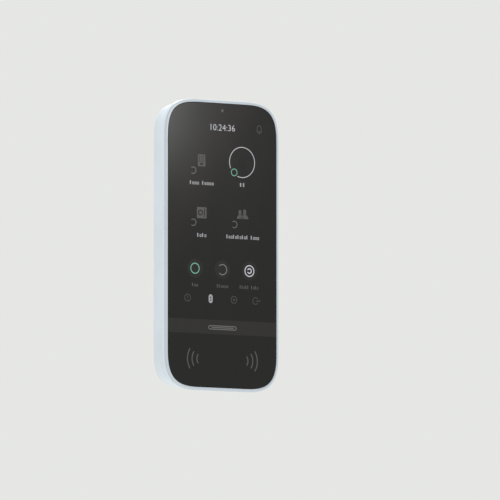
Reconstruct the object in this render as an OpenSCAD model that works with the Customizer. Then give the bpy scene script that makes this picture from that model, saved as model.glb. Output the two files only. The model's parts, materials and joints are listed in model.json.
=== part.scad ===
// Touch-screen alarm keypad on its wall bracket.
// The origin is the centre of the bracket's wall face, the screen faces -Y and +Z is up.
// Depths are counted from the wall towards the room, so a depth d lies at y = -d.

/* [Case] */
// Width over the bezel
case_w = 77.6; // [77:0.1:80]
// Height over the bezel
case_h = 165; // [164:0.5:168]
// Depth from the wall to the glass
case_d = 20; // [20:0.1:21]
// Corner size over the bezel
corner_r = 25; // [24:0.1:26]
// Corner squareness (2 is round)
corner_n = 3.15; // [2.8:0.05:3.4]
// Width of the rim around the glass
rim_w = 1.8; // [1.7:0.1:2]
// Overhang of the bezel past the side wall
side_in = 1.3; // [1.1:0.1:1.4]
// Wall thickness of the rear housing
wall = 1.5; // [1.4:0.1:1.6]

/* [Screen] */
// Width of the display
display_w = 64.8; // [62:0.2:65]
// Height of the display
display_h = 112.2; // [110:0.1:112.2]
// Thickness of the cover glass
glass_t = 1; // [0.8:0.1:1]

/* [Battery] */
// Diameter of one cell
cell_d = 15.5; // [15:0.1:15.5]
// Length of one cell
cell_l = 27; // [26:0.1:27]
// Distance between the two rows of cells
cell_pitch = 16.2; // [16:0.1:16.3]

/* [Bracket] */
// Thickness of the bracket's plate
plate_t = 1.6; // [1.5:0.1:1.6]
// Lift that frees the keypad from the hooks
lift = 8; // [7:0.5:8]
// Distance between wall screws across
screw_dx = 44; // [42:1:46]
// Distance between wall screws in height
screw_dz = 76; // [72:1:78]
// Radius of a wall screw hole
screw_r = 2.1; // [2:0.1:2.2]

/* [Hidden] */
steps = 10;
eps = 0.1;
fine = 48;

// depths from the wall
back_d = 2.4;
rib_d = 2.2;
floor_d = back_d + wall;
seam_d = 16.6;
bezel_d = 16.9;
glass_d = case_d - glass_t;
carrier_d = 14.4;
light_d = 15.6;
panel_d = 17.4;
board_d = 9.8;
board_t = 1.2;
board_front = board_d + board_t;
cell_c = 10.3;
tray_d = 4.6;
post_d = 5.4;

// inner edges of the bezel's ledge and skirt, counted in from the outline
ledge_in = 3.6;
skirt_in = 4;

// places across (x) and in height (z)
panel_z = 71.8;
carrier_z = -42.3;
row_z = [-51.7, -51.7 - cell_pitch];
cell_r = cell_d / 2;
trough_r = cell_r + 0.1;
row_x = cell_l + 0.2;
tray_x = 30.2;
post_x = 27;
post_z = [-34, 16, 66];
pillar_z = [-10, 40];
hook_x = 18;
hook_z = [-30, 50];
hook_w = 5.6;
stem_h = 2.5;
tamper_z = 20;
power_x = 12;
power_z = 32;
sounder_x = -12;
sounder_z = -14;
terminal_z = 63;
terminal_w = 15;
terminal_h = 10;
lead_x = [-21.6, -19.4];
guide_z = -45.8;
guide_x = 28;
sensor_z = 76.2;
lug_z = -81;
lug_t = 2;
lug_d = 7.4;
screw_d = 4.6;

// corner shrink that keeps an inset outline at an even distance from the outer one
shrink = (1 - sqrt(0.5)) / (1 - pow(2, -1 / corner_n));

// one corner's points from the right-hand side up to the top
function corner(r) = [for (i = [0:steps]) let (a = 90 * i / steps)
    [r * pow(cos(a), 2 / corner_n), r * pow(sin(a), 2 / corner_n)]];

// the case outline, moved in by a distance
function outline(inset) = let (r = corner_r - shrink * inset, x = case_w / 2 - inset - r,
    z = case_h / 2 - inset - r, c = corner(r))
    concat([for (p = c) [x + p[0], z + p[1]]],
        [for (i = [steps:-1:0]) [-x - c[i][0], z + c[i][1]]],
        [for (p = c) [-x - p[0], -z - p[1]]],
        [for (i = [steps:-1:0]) [x + c[i][0], -z - c[i][1]]]);

// a flat shape in x and z, given its depth range
module layer(d0, d1) {
    translate([0, -d0, 0]) rotate([90, 0, 0]) linear_extrude(d1 - d0) children();
}

module slab(d0, d1, inset) {
    layer(d0, d1) polygon(outline(inset));
}

module ring(d0, d1, inset0, inset1) {
    difference() {
        slab(d0, d1, inset0);
        slab(d0 - eps, d1 + eps, inset1);
    }
}

// a round bar or bore along the depth
module round_bar(x, z, r, d0, d1) {
    translate([x, -d0, z]) rotate([90, 0, 0]) cylinder(r = r, h = d1 - d0, $fn = fine);
}

// a box by its two corners in x, depth and z
module box(x0, x1, d0, d1, z0, z1) {
    translate([x0, -d1, z0]) cube([x1 - x0, d1 - d0, z1 - z0]);
}

// a slot with round ends, along z
module slot(x, z0, z1, r, d0, d1) {
    round_bar(x, z0 + r, r, d0, d1);
    round_bar(x, z1 - r, r, d0, d1);
    box(x - r, x + r, d0, d1, z0 + r, z1 - r);
}

// a slot with round ends, along x
module slot_x(x0, x1, z, r, d0, d1) {
    round_bar(x0 + r, z, r, d0, d1);
    round_bar(x1 - r, z, r, d0, d1);
    box(x0 + r, x1 - r, d0, d1, z - r, z + r);
}

// a strip bent in depth and height, with a width along x
module strip(x0, x1, path) {
    translate([x0, 0, 0]) rotate([90, 0, 90]) linear_extrude(x1 - x0)
        polygon([for (p = path) [-p[0], p[1]]]);
}

// a pan-head screw with a cross recess, head at its lower depth
module screw(x, z, d, head_r, head_t, shank_r, length) {
    difference() {
        union() {
            round_bar(x, z, head_r, d, d + head_t);
            round_bar(x, z, shank_r, d + head_t - eps, d + head_t + length);
        }
        for (turn = [0, 90]) translate([x, -d, z]) rotate([0, turn, 0])
            cube([head_r * 1.2, head_t, head_r * 0.3], center = true);
    }
}

module cover_glass() {
    color([0.17, 0.17, 0.16]) slab(glass_d, case_d, rim_w);
}

module glass_gasket() {
    color([0.1, 0.1, 0.1]) ring(glass_d - 0.25, glass_d, rim_w + 0.2, ledge_in);
}

module bezel_frame() {
    color([0.8, 0.83, 0.86]) {
        difference() {
            hull() {
                slab(case_d - 0.05, case_d, 0.7);
                slab(case_d - 0.4, case_d - 0.3, 0.25);
                slab(bezel_d, case_d - 0.9, 0);
            }
            slab(bezel_d - eps, case_d + eps, rim_w - 0.1);
        }
        ring(17.3, glass_d - 0.25, rim_w - 0.2, ledge_in);
        ring(carrier_d - 0.4, 17.4, 3, skirt_in);
    }
}

module display_panel() {
    color([0.12, 0.12, 0.13]) {
        box(-display_w / 2, display_w / 2, panel_d, panel_d + 0.8, panel_z - display_h, panel_z);
        box(-display_w / 2, display_w / 2, panel_d + 0.8, glass_d,
            panel_z - display_h + 1.9, panel_z);
    }
}

module display_backlight() {
    x = display_w / 2 + 0.1;
    color([0.75, 0.76, 0.78]) difference() {
        box(-x - 0.3, x + 0.3, light_d, panel_d + 1, panel_z - display_h - 0.4, panel_z + 0.4);
        box(-x, x, panel_d, panel_d + 2, panel_z - display_h - 0.1, panel_z + 0.1);
        box(-11, 11, panel_d, panel_d + 2, panel_z - display_h - 1, panel_z - display_h);
    }
}

module display_carrier() {
    color([0.22, 0.23, 0.24]) difference() {
        union() {
            intersection() {
                slab(carrier_d, light_d, skirt_in);
                box(-40, 40, carrier_d, light_d, carrier_z, 90);
            }
            for (x = [-post_x, post_x], z = post_z) round_bar(x, z, 3, post_d, carrier_d);
            for (x = [-post_x, post_x], z = pillar_z) round_bar(x, z, 2.2, board_front, carrier_d);
        }
        for (x = [-post_x, post_x], z = post_z) round_bar(x, z, 1.15, post_d - eps, 12);
        for (x = [-post_x, post_x], z = pillar_z) round_bar(x, z, 0.85, board_front - eps, 13.6);
        box(-10.6, 10.6, carrier_d - eps, light_d + eps, carrier_z - 1, -40.9);
        box(-5.4, 5.4, carrier_d - eps, light_d + eps, 74.4, 90);
    }
}

module display_flex() {
    color([0.72, 0.45, 0.12]) strip(-9.6, 9.6, [
        [18.1, panel_z - display_h], [18.1, -41.7], [11.7, -41.7], [11.7, -37.4],
        [11.5, -37.4], [11.5, -41.9], [18.3, -41.9], [18.3, panel_z - display_h]]);
}

module status_light_guide() {
    color([0.9, 0.93, 0.95]) difference() {
        box(-guide_x, guide_x, panel_d, glass_d, guide_z - 1.5, guide_z + 1.5);
        for (side = [-1, 1]) translate([side * guide_x, -panel_d, guide_z]) rotate([0, 0, 45])
            cube([1, 1, 4], center = true);
    }
}

module status_leds() {
    color([0.95, 0.95, 0.8]) for (side = [-1, 1])
        translate([side * (guide_x + 0.7), -panel_d - 0.9, guide_z]) cube([1.4, 1, 2], center = true);
}

module light_sensor() {
    color([0.3, 0.12, 0.2]) box(-0.75, 0.75, 18, 18.7, sensor_z - 0.75, sensor_z + 0.75);
}

module sensor_boot() {
    color([0.08, 0.08, 0.08]) difference() {
        round_bar(0, sensor_z, 1.7, 18, glass_d);
        round_bar(0, sensor_z, 1.2, 18 - eps, glass_d + eps);
    }
}

module sensor_board() {
    color([0.1, 0.35, 0.2]) {
        box(-5, 5, panel_d, 18, 74.6, 77.7);
        strip(-3, 3, [[panel_d + eps, 75.2], [11.6, 75.2], [11.6, 70.4], [11.4, 70.4],
            [11.4, 75.4], [panel_d + eps, 75.4]]);
    }
}

module reader_coil() {
    color([0.7, 0.4, 0.15]) {
        difference() {
            box(-27, 27, glass_d - 0.2, glass_d - 0.1, -74, -50);
            round_bar(0, -62, 2, glass_d - 1, glass_d + 1);
        }
        for (turn = [0:3]) difference() {
            box(-26 + turn * 1.4, 26 - turn * 1.4, glass_d - 0.12, glass_d,
                -73 + turn * 1.4, -51 - turn * 1.4);
            box(-25.2 + turn * 1.4, 25.2 - turn * 1.4, glass_d - 0.5, glass_d + 0.5,
                -72.2 + turn * 1.4, -51.8 - turn * 1.4);
        }
    }
}

module reader_ferrite() {
    color([0.25, 0.25, 0.27]) box(-27, 27, glass_d - 0.4, glass_d - 0.2, -74, -50);
}

module main_board() {
    color([0.05, 0.28, 0.16]) difference() {
        intersection() {
            slab(board_d, board_front, 3.6);
            box(-31.5, 31.5, board_d, board_front, -40, 72);
        }
        for (x = [-post_x, post_x], z = post_z) round_bar(x, z, 3.3, board_d - 1, board_front + 1);
        for (x = [-post_x, post_x], z = pillar_z) round_bar(x, z, 1.1, board_d - 1, board_front + 1);
    }
}

module shield_can() {
    color([0.75, 0.76, 0.77]) difference() {
        box(2, 24, board_d - 2.4, board_d, -24, 0);
        box(2.2, 23.8, board_d - 2.2, board_d + 1, -23.8, -0.2);
    }
}

module processor_chips() {
    color([0.1, 0.1, 0.11]) {
        box(-20, -8, board_front, board_front + 1.2, 20, 32);
        box(4, 12, board_front, board_front + 1, 24, 32);
        box(-6, 2, board_front, board_front + 1, -4, 4);
        box(8, 18, board_d - 1.2, board_d, -17, -7);
    }
}

module board_connectors() {
    color([0.85, 0.83, 0.76]) {
        difference() {
            box(-11, 11, board_front, board_front + 1.6, -38.6, -34);
            box(-9.7, 9.7, board_front + 0.4, board_front + 0.8, -40, -37.3);
        }
        difference() {
            box(-4, 4, board_front, board_front + 1.2, 67.8, 71);
            box(-3.1, 3.1, board_front + 0.3, board_front + 0.7, 70.3, 72);
        }
        difference() {
            box(-23.2, -17.8, board_d - 3, board_d, -39.6, -35.6);
            for (x = lead_x) translate([x, -board_d + 1.6, -41])
                cylinder(r = 0.65, h = 3, $fn = fine);
        }
    }
}

// a stamped inverted-F antenna, mirrored to either side
module antenna(side) {
    mirror([side < 0 ? 1 : 0, 0, 0]) color([0.8, 0.78, 0.7]) {
        box(12.6, 20, board_d - 3.2, board_d - 2.9, 67, 70);
        for (x = [12.6, 15.6]) box(x, x + 0.8, board_d - 3, board_d, 67, 67.3);
    }
}

module antenna_left() {
    antenna(-1);
}

module antenna_right() {
    antenna(1);
}

module sounder() {
    color([0.12, 0.12, 0.12]) difference() {
        round_bar(sounder_x, sounder_z, 6, board_d - 4.6, board_d);
        round_bar(sounder_x, sounder_z, 1.1, board_d - 5, board_d - 3);
    }
}

module terminal_block() {
    x0 = -terminal_w / 2;
    z0 = terminal_z - terminal_h / 2;
    color([0.18, 0.45, 0.25]) difference() {
        box(x0, -x0, 3, board_d, z0, z0 + terminal_h);
        for (pole = [0:2]) {
            x = x0 + 2.5 + pole * 5;
            round_bar(x, terminal_z + 1, 1.7, 2.9, 6.4);
            box(x - 1.6, x + 1.6, 4, 7.4, z0 - 1, z0 + 3);
        }
    }
}

module terminal_screws() {
    color([0.75, 0.75, 0.76]) for (pole = [0:2])
        screw(2.5 - terminal_w / 2 + pole * 5, terminal_z + 1, 3.6, 1.6, 1.2, 1.2, 1.6);
}

module tamper_switch() {
    color([0.15, 0.15, 0.16]) difference() {
        box(-3.5, 3.5, 5.4, board_d, tamper_z - 3.5, tamper_z + 3.5);
        round_bar(0, tamper_z, 2.5, 5.3, 9);
    }
}

module tamper_plunger() {
    color([0.92, 0.92, 0.9]) {
        round_bar(0, tamper_z, 1.4, plate_t + 0.1, 5);
        round_bar(0, tamper_z, 2.3, 4.6, 5.4);
        round_bar(0, tamper_z, 0.9, 5.2, 7.4);
    }
}

// the points of a round wire wound along the depth, one ring of points for each step
spring_r = 1.75;
spring_wire = 0.25;
spring_turns = 3.5;
spring_steps = 14;
spring_sides = 6;

function spring_ring(i) = let (a = 360 * i / spring_steps, rise = 0.6 * i / spring_steps)
    [for (k = [0:spring_sides - 1]) let (b = 360 * k / spring_sides,
        r = spring_r + spring_wire * cos(b))
        [r * cos(a), r * sin(a), rise + spring_wire * sin(b)]];

module tamper_spring() {
    rings = spring_turns * spring_steps;
    points = [for (i = [0:rings]) each spring_ring(i)];
    sides = [for (i = [0:rings - 1], k = [0:spring_sides - 1])
        let (a = i * spring_sides, b = a + spring_sides, n = (k + 1) % spring_sides)
        [a + k, b + k, b + n, a + n]];
    first = [for (k = [0:spring_sides - 1]) k];
    last = [for (k = [spring_sides - 1:-1:0]) rings * spring_sides + k];
    color([0.7, 0.71, 0.73]) translate([0, -5.7, tamper_z]) rotate([90, 0, 0])
        polyhedron(points, concat(sides, [first], [last]));
}

module power_switch() {
    color([0.2, 0.2, 0.21]) difference() {
        box(power_x - 3, power_x + 3, 6.6, board_d, power_z - 3, power_z + 3);
        round_bar(power_x, power_z, 1.7, 6.5, 9);
    }
}

module power_button() {
    color([0.85, 0.86, 0.87]) {
        round_bar(power_x, power_z, 3, back_d + 0.1, 4.3);
        round_bar(power_x, power_z, 3.8, floor_d + 0.1, 5);
        round_bar(power_x, power_z, 1.5, 5, 7.6);
    }
}

module battery_tray() {
    top = row_z[0] + trough_r + 1.2;
    low = row_z[1] - trough_r - 1.2;
    end = row_x + 1.3;
    color([0.2, 0.21, 0.22]) difference() {
        intersection() {
            slab(tray_d, glass_d - 0.4, 4.9);
            box(-tray_x, tray_x, tray_d, glass_d - 0.4, low, top);
        }
        for (z = row_z) {
            translate([-end, -cell_c, z]) rotate([0, 90, 0])
                cylinder(r = trough_r, h = 2 * end, $fn = fine);
            box(-end, end, floor_d - 1, cell_c, z - trough_r, z + trough_r);
        }
        box(-tray_x - 1, tray_x + 1, panel_d - 0.2, glass_d, guide_z - 1.7, top + 1);
        for (x = lead_x) translate([x, -board_d + 1.6, top - 3])
            cylinder(r = 0.65, h = 5, $fn = fine);
    }
}

// one cell, with its raised end towards +X or -X
module cell(x0, z, dir) {
    translate([dir > 0 ? x0 : x0 + cell_l, -cell_c, z]) rotate([0, 90 * dir, 0])
        color([0.85, 0.6, 0.2]) {
            cylinder(r = cell_r, h = cell_l - 0.8, $fn = fine);
            translate([0, 0, cell_l - 0.9]) cylinder(r = 2.6, h = 0.9, $fn = fine);
        }
}

module battery_cell_1() {
    cell(-row_x, row_z[0], 1);
}

module battery_cell_2() {
    cell(0.2, row_z[0], 1);
}

module battery_cell_3() {
    cell(-row_x, row_z[1], -1);
}

module battery_cell_4() {
    cell(0.2, row_z[1], -1);
}

module battery_contacts() {
    color([0.8, 0.8, 0.76]) {
        for (side = [-1, 1], z = row_z) translate([side * (row_x + 1), -cell_c, z]) {
            cube([0.6, 9, 9], center = true);
            rotate([0, -90 * side, 0]) cylinder(r = 2.2, h = 1, $fn = fine);
        }
        for (z = row_z) box(-0.2, 0.2, cell_c - 4, cell_c + 4, z - 4, z + 4);
    }
}

module battery_leads() {
    color([0.7, 0.1, 0.1]) for (x = lead_x)
        translate([x, -board_d + 1.6, row_z[0] + trough_r + 0.2])
            cylinder(r = 0.6, h = -39 - row_z[0] - trough_r, $fn = 24);
}

module board_screws() {
    color([0.7, 0.71, 0.72]) for (x = [-post_x, post_x], z = pillar_z)
        screw(x, z, board_d - 1.2, 1.9, 1.2, 0.8, 3);
}

module rear_housing() {
    window_z = [row_z[1] - trough_r, row_z[0] + trough_r];
    color([0.82, 0.85, 0.88]) difference() {
        union() {
            difference() {
                hull() {
                    slab(seam_d - 0.1, seam_d, side_in);
                    slab(7.4, 7.5, side_in + 0.4);
                    slab(4.4, 4.5, side_in + 1.2);
                    slab(3.1, 3.2, side_in + 2.4);
                    slab(back_d, back_d + 0.1, side_in + 4.4);
                }
                hull() {
                    slab(seam_d + 1, seam_d + 1.1, side_in + wall);
                    slab(7.4, 7.5, side_in + wall + 0.4);
                    slab(4.6, 4.7, side_in + wall + 1.3);
                    slab(floor_d, floor_d + 0.1, side_in + wall + 3.6);
                }
            }
            for (x = [-post_x, post_x], z = post_z) round_bar(x, z, 3.4, back_d + 0.5, post_d);
            box(-8, 8, 2.8, 9, -79.6, -77.2);
        }
        for (x = [-post_x, post_x], z = post_z) {
            round_bar(x, z, 2.5, back_d - 1, 4);
            round_bar(x, z, 1.3, 3.9, post_d + 1);
        }
        for (x = [-hook_x, hook_x], z = hook_z)
            box(x - 3.2, x + 3.2, back_d - 1, floor_d + 0.5, z - lift - 0.4, z + stem_h + 0.2);
        box(-row_x - 1.3, row_x + 1.3, back_d - 1, floor_d + 0.5, window_z[0], window_z[1]);
        box(-terminal_w / 2 - 2, terminal_w / 2 + 2, back_d - 1, floor_d + 0.5, 56, 70);
        round_bar(0, tamper_z, 1.6, back_d - 1, floor_d + 0.5);
        round_bar(power_x, power_z, 3.2, back_d - 1, floor_d + 0.5);
        for (turn = [0:5]) round_bar(sounder_x + 3 * cos(60 * turn), sounder_z + 3 * sin(60 * turn),
            0.6, back_d - 1, floor_d + 0.5);
        round_bar(sounder_x, sounder_z, 0.6, back_d - 1, floor_d + 0.5);
        box(-5.2, 5.2, back_d - 1, lug_d + 0.4, -84, lug_z + lug_t + 0.1);
        translate([0, -screw_d, -80]) cylinder(r = 1.5, h = 6, $fn = fine);
        for (i = [-6:6]) if (abs(i) > 2) translate([i * 2.6, -11, -79])
            cube([1.2, 4, 8], center = true);
    }
}

module housing_screws() {
    color([0.3, 0.31, 0.32]) for (x = [-post_x, post_x], z = post_z)
        screw(x, z, 2.6, 2.3, 1.4, 1.1, 6.6);
}

// a hook that holds the housing's back wall from inside
module hook(x, z) {
    box(x - hook_w / 2, x + hook_w / 2, plate_t - eps, 5.6, z, z + stem_h);
    box(x - hook_w / 2, x + hook_w / 2, floor_d + 0.2, 5.6, z, z + stem_h + lift - 1.6);
}

module mounting_bracket() {
    color([0.86, 0.88, 0.9]) difference() {
        union() {
            slab(0, plate_t, 6.2);
            ring(plate_t - eps, rib_d, 6.2, 7.8);
            for (x = [-screw_dx / 2, screw_dx / 2], z = [-screw_dz / 2, screw_dz / 2])
                round_bar(x, z, 5, plate_t - eps, rib_d);
            for (x = [-hook_x, hook_x], z = hook_z) hook(x, z);
            box(-4.6, 4.6, 0, plate_t, lug_z, -75);
            box(-4.6, 4.6, plate_t - eps, lug_d, lug_z, lug_z + lug_t);
        }
        for (x = [-screw_dx / 2, screw_dx / 2], z = [-screw_dz / 2, screw_dz / 2]) {
            round_bar(x, z, screw_r, -1, rib_d + 1);
            round_bar(x, z, 4.1, 1.1, rib_d + 1);
        }
        // levelling slot and the fixing hole of the break-out tab
        slot_x(-6, 6, 44, screw_r, -1, plate_t + 1);
        round_bar(0, 8, screw_r, -1, plate_t + 1);
        // cuts around the break-out tab, with four bridges left between them
        for (side = [-1, 1]) {
            slot(side * 11, -1, 12, 0.6, -1, plate_t + 1);
            slot(side * 11, 15, 28, 0.6, -1, plate_t + 1);
            slot_x(side < 0 ? -9 : 2, side < 0 ? -2 : 9, 29, 0.6, -1, plate_t + 1);
            slot_x(side < 0 ? -9 : 2, side < 0 ? -2 : 9, -2, 0.6, -1, plate_t + 1);
        }
        // cable window, with a shallow channel up to the top edge
        slot_x(-9.5, 9.5, terminal_z, 5, -1, plate_t + 1);
        box(-4, 4, -1, 0.8, terminal_z, 80);
        // grip grooves on the wall face
        for (i = [0:5]) box(-26, 26, -1, 0.4, -66 + i * 3, -65 + i * 3);
        translate([0, -screw_d, lug_z - 1]) cylinder(r = 1.4, h = lug_t + 2, $fn = fine);
        translate([0, -screw_d, lug_z - 1]) cylinder(r = 2.5, h = 2.2, $fn = fine);
    }
}

module holding_screw() {
    color([0.7, 0.71, 0.72]) translate([0, -screw_d, lug_z + 0.1]) difference() {
        union() {
            cylinder(r = 2.3, h = 1.1, $fn = fine);
            translate([0, 0, 1]) cylinder(r = 1.25, h = 2.8, $fn = fine);
        }
        for (turn = [0, 90]) rotate([0, 0, turn]) cube([2.8, 0.7, 1.4], center = true);
    }
}

cover_glass();
glass_gasket();
bezel_frame();
display_panel();
display_backlight();
display_carrier();
display_flex();
status_light_guide();
status_leds();
light_sensor();
sensor_boot();
sensor_board();
reader_coil();
reader_ferrite();
main_board();
shield_can();
processor_chips();
board_connectors();
antenna_left();
antenna_right();
sounder();
terminal_block();
terminal_screws();
tamper_switch();
tamper_plunger();
tamper_spring();
power_switch();
power_button();
battery_tray();
battery_cell_1();
battery_cell_2();
battery_cell_3();
battery_cell_4();
battery_contacts();
battery_leads();
board_screws();
rear_housing();
housing_screws();
mounting_bracket();
holding_screw();
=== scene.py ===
"""Looks of a wall keypad with a dark touch glass, a pale rim and a light housing on its bracket.

Lengths in the tables are millimetres on the face: x to the right, z up from the middle of the
glass, and d the distance from the wall. place() turns them into metres of the shared frame.
"""

import json
import math

import bpy
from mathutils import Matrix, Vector


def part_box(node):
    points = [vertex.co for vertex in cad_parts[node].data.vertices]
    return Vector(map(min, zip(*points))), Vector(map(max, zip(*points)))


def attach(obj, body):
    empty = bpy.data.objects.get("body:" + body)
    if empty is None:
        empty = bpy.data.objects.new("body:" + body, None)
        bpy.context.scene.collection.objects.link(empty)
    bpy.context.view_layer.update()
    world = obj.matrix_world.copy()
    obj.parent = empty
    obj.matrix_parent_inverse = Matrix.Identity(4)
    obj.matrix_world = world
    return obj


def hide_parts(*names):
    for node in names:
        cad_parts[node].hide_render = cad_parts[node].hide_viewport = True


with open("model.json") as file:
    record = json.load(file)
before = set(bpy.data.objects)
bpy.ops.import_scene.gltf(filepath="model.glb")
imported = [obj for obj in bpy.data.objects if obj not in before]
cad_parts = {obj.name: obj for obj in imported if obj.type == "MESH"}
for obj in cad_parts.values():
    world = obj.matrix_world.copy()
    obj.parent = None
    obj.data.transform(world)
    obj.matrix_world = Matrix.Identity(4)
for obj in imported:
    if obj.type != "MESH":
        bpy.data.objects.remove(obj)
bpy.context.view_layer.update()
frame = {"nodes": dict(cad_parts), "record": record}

MM = 0.001

# ---------------------------------------------------------------- sizes, from the frame
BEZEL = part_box("bezel_frame")
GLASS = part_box("cover_glass")
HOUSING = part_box("rear_housing")
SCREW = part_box("holding_screw")

CASE_W = (BEZEL[1][0] - BEZEL[0][0]) / MM
CASE_H = (BEZEL[1][2] - BEZEL[0][2]) / MM
CASE_D = -BEZEL[0][1] / MM
GLASS_BACK = -GLASS[1][1] / MM
RIM = (GLASS[0][0] - BEZEL[0][0]) / MM
SIDE_IN = (HOUSING[0][0] - BEZEL[0][0]) / MM
SEAM = -HOUSING[0][1] / MM
BACK = -HOUSING[1][1] / MM

CORNER_N = 3.15                                # squareness of the case's corners
CORNER_R = 25.0                                # corner size over the bezel
DIAGONAL = 1 - 2 ** (-1 / CORNER_N)            # how far a corner is cut, for each unit of size
SHRINK = (1 - math.sqrt(0.5)) / DIAGONAL       # corner size lost for each unit of inset
PROFILE = 0.25 ** (1 / CORNER_N)               # the same corner as a bevel profile
CORNER_STEPS = 24

GLASS_TOP = CASE_D - 0.04                      # the glass lies just under the rim's crest
GLASS_ROUND = (0.35, 0.22)                     # how far its rounded edge goes in and back
PRINT_T = 0.022                                # thickness of what is drawn on the glass


def place(x, d, z):
    """A point on the face, in metres of the shared frame."""
    return (x * MM, -d * MM, z * MM)


# ---------------------------------------------------------------- camera, floor and light
VIEW_AZ, VIEW_EL = math.radians(-34), math.radians(-4.6)
VIEW_DIST = 6.0
VIEW_LENS = 764.0
VIEW_SHIFT = (0.055, -0.009)                   # moves the case to its place in the frame
FLOOR_Z = -0.75
FLOOR_SIZE = 12.0
PAPER = (0.9, 0.9, 0.885, 1)
SKY = (0.791, 0.799, 0.776, 1)


def look_at(obj, target):
    obj.rotation_euler = (Vector(target) - obj.location).to_track_quat("-Z", "Y").to_euler()


def add_camera():
    data = bpy.data.cameras.new("view")
    data.lens = VIEW_LENS
    data.clip_end = 50
    data.shift_x, data.shift_y = VIEW_SHIFT
    camera = bpy.data.objects.new("view", data)
    bpy.context.scene.collection.objects.link(camera)
    back = Vector((math.sin(VIEW_AZ) * math.cos(VIEW_EL),
                   -math.cos(VIEW_AZ) * math.cos(VIEW_EL), math.sin(VIEW_EL)))
    target = Vector(place(0, CASE_D, 0))
    camera.location = target + back * VIEW_DIST
    look_at(camera, target)
    bpy.context.scene.camera = camera


def add_light(name, at, size, power, colour, target=(0, -0.01, 0)):
    data = bpy.data.lights.new(name, "AREA")
    data.shape = "RECTANGLE"
    data.size, data.size_y = size
    data.energy = power
    data.color = colour
    lamp = bpy.data.objects.new(name, data)
    bpy.context.scene.collection.objects.link(lamp)
    lamp.location = at
    look_at(lamp, target)


def add_stage():
    bpy.ops.object.select_all(action="DESELECT")
    bpy.ops.mesh.primitive_plane_add(size=FLOOR_SIZE, location=(0, 0, FLOOR_Z))
    floor = bpy.context.object
    floor.name = "studio_floor"
    pale = bpy.data.materials.new("studio_paper")
    pale.use_nodes = True
    surface = pale.node_tree.nodes["Principled BSDF"].inputs
    surface["Base Color"].default_value = PAPER
    surface["Roughness"].default_value = 0.9
    floor.data.materials.append(pale)
    world = bpy.data.worlds.new("studio")
    world.use_nodes = True
    world.node_tree.nodes["Background"].inputs["Color"].default_value = SKY
    bpy.context.scene.world = world
    bpy.context.scene.view_settings.view_transform = "Standard"
    add_light("softbox_left", (-0.9, -0.7, 0.5), (0.8, 1.0), 2.6, (0.96, 0.98, 1.0))
    add_light("softbox_back", (0.7, 1.0, 0.6), (0.8, 0.8), 3, (1.0, 0.99, 0.97))
    add_light("softbox_glass", (0.185, -0.42, 0.135), (0.08, 0.09), 0.18, (1.0, 0.98, 0.97),
              target=(-0.06, -0.02, 0.08))
    add_light("softbox_above", (0.1, 0.25, 0.9), (0.4, 0.4), 3, (1.0, 0.99, 0.96))
    add_light("softbox_below", (0.1, -0.45, -0.6), (0.5, 0.4), 1.2, (1.0, 0.98, 0.98))


# ---------------------------------------------------------------- shader maths
class Value:
    """A socket of a material, so that sums of sockets and numbers add their Math nodes."""

    def __init__(self, shader, socket):
        self.shader, self.socket = shader, socket

    def math(self, operation, *values):
        return self.shader.node("ShaderNodeMath", {"operation": operation}, *values)

    def __add__(self, other):
        return self.math("ADD", self, other)

    def __sub__(self, other):
        return self.math("SUBTRACT", self, other)

    def __rsub__(self, other):
        return self.math("SUBTRACT", other, self)

    def __mul__(self, other):
        return self.math("MULTIPLY", self, other)

    def __gt__(self, other):
        return self.math("GREATER_THAN", self, other)

    __radd__, __rmul__ = __add__, __mul__


class Shader:
    """A new material with its Principled surface, and one way to add any other node."""

    def __init__(self, name, colour, rough, metallic=0.0, coat=0.0, specular=0.5):
        self.material = bpy.data.materials.new(name)
        self.material.use_nodes = True
        self.nodes = self.material.node_tree.nodes
        self.links = self.material.node_tree.links
        self.surface = self.nodes["Principled BSDF"]
        self.set("Base Color", colour)
        self.set("Roughness", rough)
        self.set("Metallic", metallic)
        self.set("Coat Weight", coat)
        self.set("Coat Roughness", 0.12)
        self.set("Specular IOR Level", specular)
        self.place = self.node("ShaderNodeTexCoord", {}, out="Object")

    def put(self, socket, value):
        if isinstance(value, Value):
            self.links.new(value.socket, socket)
        elif isinstance(value, tuple) and len(value) == 3 and socket.type == "RGBA":
            socket.default_value = (*value, 1.0)
        else:
            socket.default_value = value

    def set(self, name, value):
        self.put(self.surface.inputs[name], value)

    def node(self, kind, settings, *values, out=0, **named):
        node = self.nodes.new(kind)
        for key, value in settings.items():
            setattr(node, key, value)
        for socket, value in zip(node.inputs, values):
            self.put(socket, value)
        for key, value in named.items():
            self.put(node.inputs[key.replace("_", " ")], value)
        return Value(self, node.outputs[out])

    def noise(self, scale, detail=2.0, rough=0.5, stretch=None):
        vector = self.place
        if stretch:
            vector = self.node("ShaderNodeMapping", {}, Vector=vector, Scale=stretch)
        return self.node("ShaderNodeTexNoise", {}, Vector=vector, Scale=scale, Detail=detail,
                         Roughness=rough)

    def blend(self, low, high, factor):
        mixed = self.node("ShaderNodeMix", {"data_type": "RGBA"}, out=2)
        inputs = mixed.socket.node.inputs
        self.put(inputs[0], factor)
        self.put(inputs[6], low)
        self.put(inputs[7], high)
        return mixed

    def range(self, value, low, high, to_low, to_high):
        return self.node("ShaderNodeMapRange", {}, value, low, high, to_low, to_high)

    def bump(self, height, distance, strength=1.0):
        normal = self.node("ShaderNodeBump", {}, Strength=strength, Distance=distance,
                           Height=height)
        self.set("Normal", normal)

    def scale(self, colour, factor):
        return self.node("ShaderNodeVectorMath", {"operation": "SCALE"}, colour, Scale=factor)

    def fold(self, value, width):
        """Runs to and fro between 0 and a width in millimetres."""
        return self.node("ShaderNodeMath", {"operation": "PINGPONG"}, value, width * MM)

    def axis(self, name):
        return self.node("ShaderNodeSeparateXYZ", {}, self.place, out=name)


def shade(colour, k):
    return tuple(min(1.0, c * k) for c in colour)


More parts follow.
